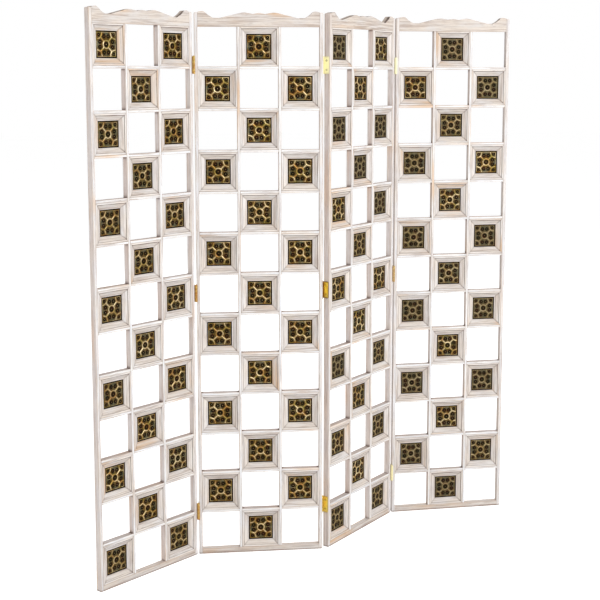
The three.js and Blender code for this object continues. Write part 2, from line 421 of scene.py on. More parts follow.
def colour(red, green, blue):
    """A linear colour from screen values of 0 to 255."""
    screen = np.array([red, green, blue]) / 255
    linear = np.where(screen <= 0.04045, screen / 12.92, ((screen + 0.055) / 1.055) ** 2.4)
    return (*linear.tolist(), 1.0)


# Dirt and painted shade on the wood
GRIME_AND_SHADE = colour(92, 66, 50)
NICK = colour(116, 90, 74)

# The sawn edge of a crest board: dark, paler in its saw marks and where the wash ran over it
SAWN_DARK = colour(84, 70, 62)
SAWN_PALE = colour(146, 128, 116)
SAWN_WASHED = colour(206, 192, 180)

# A pressed tile: its ground, its petals and its raised lines, each with its bloom or its haze and painted
# glare
GROUND_BROWN = colour(92, 66, 26)
GROUND_OLIVE = colour(76, 66, 32)
GROUND_BLOOM = colour(56, 76, 70)
GROUND_HAZE_AND_GLARE = colour(88, 82, 64)
PETAL_BROWN = colour(42, 15, 5)
PETAL_OLIVE = colour(27, 23, 5)
PETAL_BLOOM = colour(15, 23, 21)
BLACK = colour(0, 0, 0)
LINE_BRASS = colour(216, 190, 142)
LINE_PALE = colour(238, 216, 170)
LINE_DIMMING = colour(202, 168, 124)
LINE_GREENING = colour(174, 170, 114)
LINE_HAZE_AND_GLARE = colour(124, 110, 84)
TILE_SPECK = colour(112, 88, 50)

# A hinge: its brass and brown places, its painted glare, and the painted shade at its edges
HINGE_YELLOW = colour(255, 238, 132)
HINGE_GOLD = colour(250, 206, 92)
HINGE_TARNISH = colour(186, 122, 70)
HINGE_GLARE = colour(255, 253, 214)
HINGE_EDGE_SHADE = colour(122, 76, 18)
HINGE_GRIME = colour(70, 46, 22)

SOCKETS = {"colour": "NodeSocketColor", "value": "NodeSocketFloat", "vector": "NodeSocketVector"}


def shader_group(name, inputs, outputs):
    """An empty node group with named sockets, its wiring, and the outputs of its input node."""
    tree = bpy.data.node_groups.new(name, "ShaderNodeTree")
    for socket, (kind, default) in inputs.items():
        made = tree.interface.new_socket(name=socket, in_out="INPUT", socket_type=SOCKETS[kind])
        made.default_value = default
    for socket, kind in outputs.items():
        tree.interface.new_socket(name=socket, in_out="OUTPUT", socket_type=SOCKETS[kind])
    wires = Wiring(tree)
    return tree, wires, wires.node("NodeGroupInput").outputs


def limewash_group():
    """Thin wash over wood, with streaks along the grain, bare patches, thin sides and rubbed arrises."""
    tree, wires, given = shader_group(
        "limewash_over_grain",
        {
            "Wash": ("colour", colour(226, 224, 225)),
            "Wood": ("colour", colour(172, 154, 142)),
            "Bare": ("colour", colour(222, 184, 144)),
            "Side Wood": ("colour", colour(208, 184, 171)),
            "Streaks": ("value", 0.6),
            "Patches": ("value", 0.5),
            "Thin Sides": ("value", 0.6),
            "Mottle": ("value", 0.6),
            "Rub": ("value", 0.75),
            "Rub Width": ("value", 2.2 * MM),
            "Foot Scuff And Shade": ("value", 0.6),
            "Nicks": ("value", 0.6),
            "Corner Soot": ("value", 0.0),
        },
        {"Colour": "colour", "Roughness": "value", "Height": "value"},
    )
    place = wires.mark("grain_at", "Vector")
    half = wires.mark("grain_half", "Vector")
    shift = wires.times(wires.mark("shade"), SHADE_SHIFT)
    fibres = wires.noise(place, (12, 330, 330), shift, detail=4.0, roughness=0.62)
    bands = wires.noise(place, (3.5, 110, 110), shift)
    drift = wires.noise(place, (4, 16, 16), shift)
    blotch = wires.noise(place, (14, 45, 45), wires.plus(shift, 17.0))
    lines = wires.noise(place, (5, 620, 620), wires.plus(shift, 29.0))
    pores = wires.noise(place, (45, 1800, 1800), shift, detail=1.0)
    flecks = wires.noise(place, (38, 720, 720), wires.plus(shift, 41.0))

    # The wash drifts between a cool and a warm tone
    cool = wires.blend(1.0, given["Wash"], (0.925, 0.94, 0.98, 1), "MULTIPLY")
    warm = wires.blend(1.0, given["Wash"], (0.985, 0.925, 0.86, 1), "MULTIPLY")
    drifting = wires.blend(wires.between(blotch, 0.36, 0.64), cool, warm)
    worn = wires.blend(given["Mottle"], given["Wash"], drifting)

    # Wood shows in streaks, in bare patches, and on the sides of a bar behind its front arris
    streaks = wires.between(wires.plus(fibres, wires.times(bands, 0.4)), 0.62, 0.9)
    streaks = wires.times(streaks, given["Streaks"])
    worn = wires.blend(streaks, worn, given["Wood"])
    fine = wires.times(wires.between(lines, 0.56, 0.7, 0.0, 0.5), given["Streaks"])
    worn = wires.blend(fine, worn, given["Wood"])
    bare = wires.times(wires.between(drift, 0.55, 0.7), given["Patches"])
    bare = wires.times(bare, wires.between(bands, 0.35, 0.6, 0.3, 1.0))
    worn = wires.blend(bare, worn, given["Bare"])
    inside = wires.vector("SUBTRACT", half, wires.vector("ABSOLUTE", place))
    parts = wires.axes(inside)
    behind = wires.between(parts[2], 0.4 * MM, 4 * MM)
    thin = wires.times(wires.times(behind, given["Thin Sides"]), wires.between(bands, 0.3, 0.6, 0.6, 1.0))
    worn = wires.blend(thin, worn, given["Side Wood"])

    # Arrises are rubbed raggedly
    least = wires.math("MINIMUM", wires.math("MINIMUM", parts[0], parts[1]), parts[2])
    most = wires.math("MAXIMUM", wires.math("MAXIMUM", parts[0], parts[1]), parts[2])
    total = wires.plus(wires.plus(parts[0], parts[1]), parts[2])
    arris = wires.minus(wires.minus(total, least), most)
    ragged = wires.plus(arris, wires.times(wires.minus(fibres, 0.45), 4 * MM))
    rubbed = wires.between(ragged, 0.0, given["Rub Width"], 1.0, 0.0)
    rubbed = wires.times(rubbed, wires.times(given["Rub"], wires.between(drift, 0.3, 0.55, 0.25, 1.0)))
    worn = wires.blend(rubbed, worn, wires.blend(0.45, given["Wood"], given["Bare"]))

    # Grime and painted shade lie where a mark says so, broken up from place to place, and darkest by the
    # joints, where the painted shade gathers
    grime = wires.times(wires.mark("grime"), wires.between(blotch, 0.26, 0.5, 0.45, 1.0))
    from_middle = wires.math("PINGPONG", wires.axes(place)[0], PITCH / 2)
    by_joint = wires.between(from_middle, CELL / 2 - 3 * MM, CELL / 2 - 0.5 * MM, 1.0, 2.2)
    grime = wires.times(grime, by_joint)
    # Painted shade on the sides of a bar in the corners of a cell, under and over the cross rails
    in_corner = wires.between(from_middle, CELL / 2 - 10 * MM, CELL / 2 - 0.5 * MM)
    painted_corner_shade = wires.times(wires.times(in_corner, behind), given["Corner Soot"])
    grime = wires.plus(grime, painted_corner_shade)
    # The foot is darker, with scuffs and painted contact shade by the floor
    above = wires.axes(wires.out("ShaderNodeTexCoord", "Object"))[2]
    foot_scuff_and_shade = wires.between(above, 1 * MM, 7 * MM, given["Foot Scuff And Shade"], 0.0)
    grime = wires.math("MINIMUM", wires.plus(grime, foot_scuff_and_shade), 1.0)
    worn = wires.blend(grime, worn, GRIME_AND_SHADE)
    nicks = wires.times(wires.between(flecks, 0.66, 0.74), given["Nicks"])
    worn = wires.blend(nicks, worn, NICK)
    depth = wires.between(pores, 0.3, 0.45, 0.9, 1.0)
    tone = wires.times(depth, wires.between(bands, 0.3, 0.7, 0.96, 1.03))
    tint = wires.out("ShaderNodeCombineColor", "Color", {0: tone, 1: tone, 2: tone})
    height = wires.plus(wires.times(fibres, 0.7), wires.times(depth, 0.6))
    wires.node("NodeGroupOutput", {
        "Colour": wires.blend(1.0, worn, tint, "MULTIPLY"),
        "Roughness": wires.between(wires.plus(streaks, rubbed), 0.0, 1.0, 0.86, 0.62),
        "Height": height,
    })
    return tree


def material(name):
    made = bpy.data.materials.new(name)
    made.use_nodes = True
    made.node_tree.nodes.clear()
    wires = Wiring(made.node_tree)
    surface = wires.node("ShaderNodeBsdfPrincipled")
    wires.node("ShaderNodeOutputMaterial", {"Surface": surface.outputs[0]})
    return made, wires, surface


def coat(wires, surface, skin, roughness, height, strength, distance):
    """Gives a surface its colour, its roughness, and a bump of some strength and depth."""
    inputs = {"Strength": strength, "Distance": distance, "Height": height}
    bump = wires.out("ShaderNodeBump", "Normal", inputs)
    for socket, value in (("Base Color", skin), ("Roughness", roughness), ("Normal", bump)):
        wires.feed(surface.inputs[socket], value)


def limewashed(name, group, **values):
    made, wires, surface = material(name)
    named = {key.replace("_", " ").title(): value for key, value in values.items()}
    finish = wires.node("ShaderNodeGroup", named, node_tree=group).outputs
    coat(wires, surface, finish["Colour"], finish["Roughness"], finish["Height"], 0.35, 0.4 * MM)
    surface.inputs["Specular IOR Level"].default_value = 0.3
    return made


def pressed_brass():
    """Raised tracery, rubbed bright and with painted glare, over a dark ground, with a blue-green bloom by
    the border's middles.
    """
    made, wires, surface = material("pressed_brass_tile")
    place = wires.mark("grain_at", "Vector")
    shade = wires.mark("shade")
    relief = wires.mark("relief")
    shift = wires.times(shade, SHADE_SHIFT)
    cloud = wires.noise(place, (60, 60, 60), shift, detail=3.0, roughness=0.6)
    rub_and_glare = wires.noise(place, (48, 48, 48), wires.plus(shift, 9.0))
    hue = wires.noise(place, (70, 70, 70), wires.plus(shift, 23.0), detail=1.0)
    speck = wires.noise(place, (900, 900, 900), shift)
    # Haze and painted glare grey the ground and dim the lines of some tiles
    haze_and_glare = wires.between(wires.math("FRACT", wires.times(shade, 7.0)), 0.05, 0.7)
    haze_and_glare = wires.times(haze_and_glare, wires.mark("haze_and_glare"))

    # Bloom lies by the middles of the border
    parts = wires.axes(wires.vector("ABSOLUTE", place))
    out = wires.math("MAXIMUM", parts[0], parts[2])
    aside = wires.math("MINIMUM", parts[0], parts[2])
    by_middle = wires.between(aside, 5 * MM, 15 * MM, 1.0, 0.0)
    by_border = wires.times(wires.between(out, 20 * MM, 33 * MM), by_middle)
    bloom = wires.times(by_border, wires.between(cloud, 0.35, 0.6, 0.3, 1.0))

    # The ground is brown and olive, and darkest in the petals
    ground = wires.blend(wires.between(cloud, 0.38, 0.62), GROUND_BROWN, GROUND_OLIVE)
    ground = wires.blend(wires.times(bloom, 0.6), ground, GROUND_BLOOM)
    ground = wires.blend(wires.times(haze_and_glare, 0.6), ground, GROUND_HAZE_AND_GLARE)
    petals = wires.blend(wires.between(hue, 0.44, 0.56), PETAL_BROWN, PETAL_OLIVE)
    petals = wires.blend(wires.times(bloom, 0.8), petals, PETAL_BLOOM)
    petals = wires.blend(wires.between(cloud, 0.35, 0.6), petals, wires.blend(0.75, petals, BLACK))
    ground = wires.blend(wires.between(relief, -0.35, 0.0, 1.0, 0.0), ground, petals)

    # Raised lines are bright where they are rubbed and where painted glare falls, and elsewhere dim or
    # greenish
    metal = wires.blend(wires.between(shade, 0.2, 0.8), LINE_BRASS, LINE_PALE)
    dimmed = wires.blend(1.0, metal, LINE_DIMMING, "MULTIPLY")
    greened = wires.blend(1.0, metal, LINE_GREENING, "MULTIPLY")
    dull = wires.blend(wires.between(hue, 0.4, 0.6), dimmed, greened)
    metal = wires.blend(wires.between(rub_and_glare, 0.42, 0.6), dull, metal)
    metal = wires.blend(wires.times(haze_and_glare, 0.82), metal, LINE_HAZE_AND_GLARE)

    rise = wires.plus(relief, wires.times(wires.minus(cloud, 0.5), 0.45))
    bright = wires.between(rise, 0.06, 0.55)
    skin = wires.blend(bright, ground, metal)
    skin = wires.blend(wires.between(speck, 0.45, 0.75, 0.0, 0.2), skin, TILE_SPECK)
    coat(wires, surface, skin, wires.between(bright, 0.0, 1.0, 0.5, 0.36), speck, 0.5, 0.25 * MM)
    clear = wires.between(haze_and_glare, 0.0, 1.0, 1.0, 0.5)
    wires.feed(surface.inputs["Metallic"], wires.times(wires.between(bright, 0.0, 1.0, 0.1, 0.7), clear))
    surface.inputs["Specular IOR Level"].default_value = 0.04
    return made


def hinge_brass():
    """Lacquered brass, browned as its marks say, with painted glare and painted shade at the edges of its
    leaves as its marks say.
    """
    made, wires, surface = material("hinge_brass")
    place = wires.out("ShaderNodeTexCoord", "Object")
    glare = wires.mark("glare")
    cloud = wires.noise(place, (140, 140, 140), 0.0, detail=3.0)
    scratch = wires.noise(place, (900, 900, 120), 3.0, detail=3.0)
    brown = wires.times(wires.mark("tarnish"), wires.between(cloud, 0.3, 0.7, 0.5, 1.0))
    skin = wires.blend(wires.between(cloud, 0.35, 0.75), HINGE_YELLOW, HINGE_GOLD)
    skin = wires.blend(brown, skin, HINGE_TARNISH)
    skin = wires.blend(wires.times(glare, 0.9), skin, HINGE_GLARE)

    # Painted shade darkens the edges of a leaf
    from_middle = wires.vector("ABSOLUTE", wires.mark("grain_at", "Vector"))
    parts = wires.axes(wires.vector("SUBTRACT", wires.mark("grain_half", "Vector"), from_middle))
    ragged = wires.plus(wires.math("MINIMUM", parts[1], parts[2]), wires.times(cloud, 3 * MM))
    edge_shade = wires.times(wires.between(ragged, 1.8 * MM, 6.5 * MM, 1.0, 0.0), wires.mark("edge_shade"))
    skin = wires.blend(wires.times(edge_shade, 0.9), skin, HINGE_EDGE_SHADE)
    skin = wires.blend(wires.mark("grime"), skin, HINGE_GRIME)
    coat(wires, surface, skin, wires.between(scratch, 0.2, 0.8, 0.22, 0.4), scratch, 0.2, 0.1 * MM)
    wires.feed(surface.inputs["Metallic"], wires.between(glare, 0.0, 1.0, 0.8, 0.1))
    return made


def stained_edge():
    """A dark sawn edge, over whose back the wash has run."""
    made, wires, surface = material("dark_sawn_edge")
    place = wires.mark("grain_at", "Vector")
    saw = wires.noise(place, (420, 60, 60), wires.mark("shade"), detail=3.0)
    skin = wires.blend(wires.between(saw, 0.35, 0.7), SAWN_DARK, SAWN_PALE)
    pale = wires.plus(wires.axes(place)[2], wires.times(saw, 4 * MM))
    skin = wires.blend(wires.between(pale, -3 * MM, 6 * MM, 0.0, 0.8), skin, SAWN_WASHED)
    coat(wires, surface, skin, wires.between(saw, 0.2, 0.8, 0.7, 0.9), saw, 0.4, 0.3 * MM)
    return made


limewash = limewash_group()
FRAME_WOOD = limewashed(
    "limewashed_frame_wood", limewash, wash=colour(233, 231, 230), streaks=0.75, thin_sides=0.35
)
RAIL_WOOD = limewashed(
    "limewashed_crest_wood", limewash, wash=colour(220, 213, 206), streaks=0.95, thin_sides=0.1, patches=0.7
)
# Bars have painted shade on their sides in the cell corners
BAR_WOOD = limewashed(
    "limewashed_bar_wood", limewash, wash=colour(243, 244, 245), streaks=0.75, thin_sides=0.62, patches=0.72,
    mottle=0.45, corner_soot=0.6
)
MOULDING_WOOD = limewashed(
    "limewashed_moulding_wood", limewash, wash=colour(237, 232, 227), streaks=0.75, rub=0.9, thin_sides=0.0,
    patches=0.7
)
BACKING_WOOD = limewashed(
    "limewashed_backing_board", limewash, wash=colour(232, 225, 218), streaks=0.55, patches=0.35, rub=0.2
)
SAWN_EDGE = stained_edge()
TILE_BRASS = pressed_brass()
HINGE_BRASS = hinge_brass()


# ---- geometry node trees ----


def growth_tree(name, inputs):
    """A tree that takes a mesh and gives copies of it, with its wiring and the outputs of its input node."""
    tree = bpy.data.node_groups.new(name, "GeometryNodeTree")
    tree.interface.new_socket(name="Geometry", in_out="INPUT", socket_type="NodeSocketGeometry")
    for socket, kind in inputs.items():
        tree.interface.new_socket(name=socket, in_out="INPUT", socket_type=kind)
    tree.interface.new_socket(name="Geometry", in_out="OUTPUT", socket_type="NodeSocketGeometry")
    wires = Wiring(tree)
    return tree, wires, wires.node("NodeGroupInput").outputs


def copies(wires, given, points, chosen=True):
    """Ends a tree: the mesh on the chosen points, made real, each copy with its own shade and a material."""
    inputs = {"Points": points, "Instance": given["Geometry"], "Selection": chosen}
    placed = wires.out("GeometryNodeInstanceOnPoints", 0, inputs)
    index = wires.out("GeometryNodeInputIndex", 0)
    random = wires.node("FunctionNodeRandomValue", {"ID": index, "Seed": given["Seed"]}, data_type="FLOAT")
    own = next(socket for socket in random.outputs if socket.enabled)
    inputs = {"Geometry": placed, "Name": "copy_shade", "Value": own}
    kept = wires.out("GeometryNodeStoreNamedAttribute", 0, inputs, domain="INSTANCE")
    real = wires.out("GeometryNodeRealizeInstances", 0, {"Geometry": kept})
    both = [
        wires.out("GeometryNodeInputNamedAttribute", 0, {"Name": name}, data_type="FLOAT")
        for name in ("shade", "copy_shade")
    ]
    inputs = {"Geometry": real, "Name": "shade", "Value": wires.math("FRACT", wires.plus(*both))}
    shaded = wires.out("GeometryNodeStoreNamedAttribute", 0, inputs)
    inputs = {"Geometry": shaded, "Material": given["Material"]}
    wires.node("NodeGroupOutput", {"Geometry": wires.out("GeometryNodeSetMaterial", 0, inputs)})


def checkerboard_tree():
    """Copies in every other cell of a lattice, whose cells are numbered along the rows from the top left."""
    tree, wires, given = growth_tree("in_every_other_cell", {
        "Columns": "NodeSocketInt",
        "Rows": "NodeSocketInt",
        "Pitch": "NodeSocketFloat",
        "Top Row": "NodeSocketFloat",
        "Odd": "NodeSocketInt",
        "Seed": "NodeSocketInt",
        "Material": "NodeSocketMaterial",
    })
    index = wires.out("GeometryNodeInputIndex", 0)
    column = wires.math("FLOORED_MODULO", index, given["Columns"])
    row = wires.math("FLOOR", wires.math("DIVIDE", index, given["Columns"]))
    middle = wires.math("DIVIDE", wires.minus(given["Columns"], 1.0), 2.0)
    across = wires.times(wires.minus(column, middle), given["Pitch"])
    height = wires.minus(given["Top Row"], wires.times(row, given["Pitch"]))
    place = wires.out("ShaderNodeCombineXYZ", 0, {"X": across, "Z": height})
    count = wires.times(given["Columns"], given["Rows"])
    points = wires.out("GeometryNodePoints", 0, {"Count": count, "Position": place})
    parity = wires.math("FLOORED_MODULO", wires.plus(wires.plus(row, column), given["Odd"]), 2.0)
    copies(wires, given, points, wires.math("GREATER_THAN", parity, 0.5))
    return tree


def series_tree():
    """Copies in a straight row, a step apart."""
    tree, wires, given = growth_tree("in_a_row", {
        "Count": "NodeSocketInt",
        "Start": "NodeSocketVector",
        "Step": "NodeSocketVector",
        "Seed": "NodeSocketInt",
        "Material": "NodeSocketMaterial",
    })
    index = wires.out("GeometryNodeInputIndex", 0)
    steps = wires.out("ShaderNodeCombineXYZ", 0, {0: index, 1: index, 2: index})
    place = wires.vector("ADD", given["Start"], wires.vector("MULTIPLY", given["Step"], steps))
    points = wires.out("GeometryNodePoints", 0, {"Count": given["Count"], "Position": place})
    copies(wires, given, points)
    return tree


def grown(mesh, tree, **values):
    """The mesh that a tree makes of a mesh, with the tree's inputs set by name."""
    carrier = bpy.data.objects.new("carrier", mesh)
    bpy.context.scene.collection.objects.link(carrier)
    modifier = carrier.modifiers.new("grow", "NODES")
    modifier.node_group = tree
    for item in tree.interface.items_tree:
        key = item.name.lower().replace(" ", "_")
        if item.in_out == "INPUT" and key in values:
            modifier[item.identifier] = values[key]
    carrier.update_tag()
    depsgraph = bpy.context.evaluated_depsgraph_get()
    made = bpy.data.meshes.new_from_object(
        carrier.evaluated_get(depsgraph), preserve_all_data_layers=True, depsgraph=depsgraph
    )
    bpy.data.objects.remove(carrier)
    return made


EVERY_OTHER_CELL = checkerboard_tree()
IN_A_ROW = series_tree()


# ---- frame pieces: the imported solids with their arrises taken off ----


def frame_mesh(panel, node, along):
    bm = bmesh.new()
    bm.from_mesh(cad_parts[node].data)
    bm.transform(panel.axes.inverted())
    points, faces = softened(bm, ARRIS)
    return Stock().add(points, faces, **grain_marks(points, along, chance(node))).mesh(node)


def frame_piece(panel, node, name, along, wood):
    mesh = frame_mesh(panel, node, along)
    smooth(mesh)
    mesh.transform(panel.axes)
    return piece(name, mesh, panel, [node], [wood])


def crest(panel):
    """The scalloped board, whose sawn top edge is dark."""
    node, name = f"crest_rail_{panel.number}", f"crest_board_{panel.number}"
    made = frame_piece(panel, node, name, 0, RAIL_WOOD)
    made.data.materials.append(SAWN_EDGE)
    facing = panel.axes.to_3x3() @ Vector((0, 1, 0))
    for face in made.data.polygons:
        level = abs(face.normal.dot(facing)) < 0.3
        if level and face.normal.z > 0.1 and face.center.z > LATTICE_TOP + CREST_STAIN_RISE:
            face.material_index = 1


for panel in panels.values():
    number = panel.number
    for side in ("left", "right"):
        node, name = f"stile_{side}_{number}", f"upright_{side}_{number}"
        frame_piece(panel, node, name, 2, FRAME_WOOD)
    frame_piece(panel, f"bottom_rail_{number}", f"foot_rail_{number}", 0, RAIL_WOOD)
    crest(panel)
    for index in range(1, COLUMNS):
        node, name = f"mullion_{number}_{index}", f"lattice_upright_{number}_{index}"
        frame_piece(panel, node, name, 2, BAR_WOOD)


# ---- lattice: cross rails, and a mitred moulding, a backing board and a tile in every other cell ----


def square(half):
    """The corners of a square about the middle, anticlockwise."""
    return [(-half, -half), (half, -half), (half, half), (-half, half)]


def cross_rail():
    """One cross bar about its middle, cut halfway from the front for each lattice upright."""
    end, lap = OPEN_HALF - JOINT_GAP, JOINT_GAP / 2
    outline = [(-end, FRONT)]
    for index in range(1, COLUMNS):
        box = measured.box(f"mullion_2_{index}")
        left, right = box[0][0] - JOINT_GAP, box[1][0] + JOINT_GAP
        outline += [(left, FRONT), (left, lap), (right, lap), (right, FRONT)]
    outline += [(end, FRONT), (end, BACK), (-end, BACK)]
    points, faces = softened(extruded(outline, -BAR / 2, BAR / 2, 2), ARRIS)
    # Dust and painted shade on the rail's upper face
    dust_and_shade = np.where(points[:, 2] > BAR / 2 - 0.01 * MM, RAIL_TOP_DUST_AND_SHADE, 0.0)
    mesh = Stock().add(points, faces, grime=dust_and_shade, **grain_marks(points, 0, 0.0)).mesh("cross_rail")
    smooth(mesh)
    return mesh


def moulding_stick(stock, turn):
    """One mitred stick of a tile's moulding at the foot of a cell, turned by quarters about its middle."""
    half = CELL / 2 - JOINT_GAP
    rear = [(REBATE[0], REBATE[1]), (REBATE[0], REBATE[2]), (MOULDING_PROFILE[0][0], REBATE[2])]
    profile = [*MOULDING_PROFILE, *((*point, REAR_GRIME) for point in rear)]
    count = len(profile)
    sections = [(-1, band) for band in MITRE_BANDS] + [(1, band) for band in reversed(MITRE_BANDS)]
    points, grimes_and_shades = [], []
    for side, band in sections:
        corner = MITRE_GRIME[turn][side > 0] * (1 - band / MITRE_BANDS[-1])
        for inward, depth, grime in profile:
            reach = half - (inward + band) * MM - MITRE_GAP
            points.append((side * reach, FRONT + depth * MM, -half + inward * MM))
            fading = max(LEAST_MITRE_GRIME, 1 - inward / MITRE_FADE)
            mitre = corner * (fading if inward > LIP_END else LIP_MITRE_GRIME)
            film = SLOPE_FILM[turn] if inward > SLOPE_START else 0.0
            # Painted shade in the quirk and along the sight edge, weighted for each stick, against grime in
            # the mitres and the film on the slope
            grimes_and_shades.append(max(grime * QUIRK_PAINTED_SHADE[turn], mitre, film))
    points = np.array(points)
    last = len(sections) - 1
    faces = []
    for at in range(last):
        here, there = count * at, count * (at + 1)
        for step in range(count):
            after = (step + 1) % count
            faces.append((here + step, there + step, there + after, here + after))
    faces += [tuple(range(count))[::-1], tuple(range(count * last, count * (last + 1)))]
    inward = points[:, 2] + half
    place = np.stack([points[:, 0], inward, points[:, 1] - FRONT], 1)
    spread = np.tile([half, CELL / 2, BACK - FRONT], (len(points), 1))
    quarter = np.array(Matrix.Rotation(turn * math.pi / 2, 3, "Y"))
    shade = turn * STICK_SHADE_STEP
    grimes_and_shades = np.array(grimes_and_shades)
    stock.add(points @ quarter.T, faces, grain_at=place, grain_half=spread, shade=shade, grime=grimes_and_shades)


def moulding():
    stock = Stock()
    for turn in range(4):
        moulding_stick(stock, turn)
    return finished(stock, "moulding", 32)


def backing():
    near = FRONT + (REBATE[2] + BACKING_CLEARANCE) * MM
    board = extruded(square(CELL / 2 - JOINT_GAP), near, near + BACKING_THICKNESS, 1)
    points, faces = softened(board, BACKING_ARRIS)
    mesh = Stock().add(points, faces, **grain_marks(points, 0, 0.0)).mesh("backing")
    smooth(mesh)
    return mesh


# ---- pressed tile ----


def arc(centre, radius, start, end, steps):
    """Points on an arc, in degrees anticlockwise from the right."""
    turns = np.radians(np.linspace(start, end, steps + 1))
    return [(centre[0] + radius * math.cos(turn), centre[1] + radius * math.sin(turn)) for turn in turns]


def bow(start, pull, end, steps):
    """Points on a curve from start to end that is pulled towards a third point."""
    shares = np.linspace(0, 1, steps + 1)[:, None]
    start, pull, end = (np.array(point, float) for point in (start, pull, end))
    return ((1 - shares) ** 2 * start + 2 * shares * (1 - shares) * pull + shares**2 * end).tolist()


def rib(stock, path, line, closed=False):
    """A raised line along a path on the tile's face."""
    width, height, brightness = line
    section = ROUND_SECTION if height > LEAST_ROUND_HEIGHT else RIDGE_SECTION
    path = np.array(path, float)
    if closed:
        ahead, behind = np.roll(path, -1, 0), np.roll(path, 1, 0)
    else:
        ahead = np.vstack([path[1:], 2 * path[-1] - path[-2]])
        behind = np.vstack([2 * path[0] - path[1], path[:-1]])
    before, after = path - behind, ahead - path
    before /= np.linalg.norm(before, axis=1, keepdims=True)
    after /= np.linalg.norm(after, axis=1, keepdims=True)
    heading = before + after
    heading /= np.linalg.norm(heading, axis=1, keepdims=True)
    normal = np.stack([-heading[:, 1], heading[:, 0]], 1)
    stretch = 1 / np.maximum(np.sum(heading * after, 1), 0.5)
    points, relief = [], []
    for place, across, wide in zip(path, normal, stretch):
        for offset, rise in section:
            a, b = place + across * offset * wide * width / 2
            points.append((a * MM, -rise * height * MM, b * MM))
            relief.append(rise * brightness)
    many, count = len(section), len(path)
    faces = []
    for step in range(count if closed else count - 1):
        after_step = (step + 1) % count
        for low in range(many - 1):
            a, b = step * many + low, after_step * many + low
            faces.append((a, b, b + 1, a + 1))
    if not closed:
        faces.append(tuple(range(many)))
        faces.append(tuple(range((count - 1) * many, count * many))[::-1])
    stock.add(points, faces, relief=np.array(relief))


def boss(stock, centre, radius):
    """The low round boss in the middle of a petal."""
    points = [(centre[0] * MM, -BOSS_HEIGHT * MM, centre[1] * MM)]
    relief = [BOSS_BRIGHTNESS]
    for share, rise in ((0.6, 0.8), (1.0, 0.0)):
        for a, b in arc(centre, radius * share, 0, 360, BOSS_STEPS)[:-1]:
            points.append((a * MM, -BOSS_HEIGHT * rise * MM, b * MM))
            relief.append(BOSS_BRIGHTNESS * rise)
    pairs = [(1 + step, 1 + (step + 1) % BOSS_STEPS) for step in range(BOSS_STEPS)]
    faces = [(0, here, after) for here, after in pairs]
    faces += [(here, here + BOSS_STEPS, after + BOSS_STEPS, after) for here, after in pairs]
    stock.add(points, faces, relief=np.array(relief))


def lobe(stock, centre, radius):
    """A dark round petal with a low rim and a boss."""
    points, relief = [], []
    for share, height, mark in PETAL_PROFILE:
        for a, b in arc(centre, radius * share, 0, 360, LOBE_STEPS)[:-1]:
            points.append((a * MM, -height * MM, b * MM))
            relief.append(mark)
    faces = [tuple(range(LOBE_STEPS))[::-1]]
    for ring in range(len(PETAL_PROFILE) - 1):
        a, b = ring * LOBE_STEPS, (ring + 1) * LOBE_STEPS
        for step in range(LOBE_STEPS):
            after = (step + 1) % LOBE_STEPS
            faces.append((a + step, a + after, b + after, b + step))
    stock.add(points, faces, relief=np.array(relief))
    boss(stock, centre, radius * BOSS_SHARE)


def turned(path, quarter):
    """A path turned by quarters about the tile's middle."""
    for _ in range(quarter):
        path = [(-b, a) for a, b in path]
    return path


def tile():
    """A square of thin sheet: a ring, four forked spokes, a line border, and petals in the cells between."""
    stock = Stock()
    half = TILE_SIDE / 2
    points = [(a, y, b) for y in (0.0, SHEET_THICKNESS) for a, b in square(half)]
    sides = [(step, step + 4, (step + 1) % 4 + 4, (step + 1) % 4) for step in range(4)]
    stock.add(points, [(0, 1, 2, 3), (7, 6, 5, 4), *sides], relief=0.0)
    rib(stock, arc((0, 0), RING_RADIUS, 0, 360, RING_STEPS)[:-1], RING_LINE, closed=True)
    lobe(stock, (0, 0), RING_RADIUS - RING_LINE[0] / 2)
    rib(stock, square(BORDER), BORDER_LINE, closed=True)
    # A dark rim inside the tile's edge: painted shadow of its recess
    rib(stock, square((BORDER + BORDER_LINE[0] / 2 + half / MM) / 2), RIM_SHADOW_LINE, closed=True)
    near = SPOKE_START / math.sqrt(2)
    for quarter in range(4):
        rib(stock, turned([(near, near), (FORK, FORK)], quarter), SPOKE_LINE)
        for way in (1, -1):
            arm = bow((FORK, FORK), ARM_PULL[::way], ARM_END[::way], ARM_STEPS)
            rib(stock, turned(arm, quarter), ARM_LINE)
        rib(stock, turned([(0, STEM_START), (0, STEM_END)], quarter), STEM_LINE)
        for side in (-1, 1):
            lobe(stock, turned([(side * LOBE_ASIDE, LOBE_OUT)], quarter)[0], LOBE_RADIUS)
        lobe(stock, turned([(CORNER_LOBE, CORNER_LOBE)], quarter)[0], CORNER_LOBE_RADIUS)
    points = np.array(stock.points)
    stock.marks["grain_at"] = [points]
    stock.marks["shade"] = [np.zeros((len(points), 1))]
    mesh = finished(stock, "tile", 60)
    mesh.transform(Matrix.Translation((0, FRONT + TILE_DEPTH, 0)))
    return mesh


insets = (
    ("tile_mouldings", moulding(), "limewashed_lattice", MOULDING_WOOD, 1),
    ("tile_backings", backing(), "limewashed_lattice", BACKING_WOOD, 2),
    ("pressed_tiles", tile(), "pressed_brass", TILE_BRASS, 3),
)
rail = cross_rail()

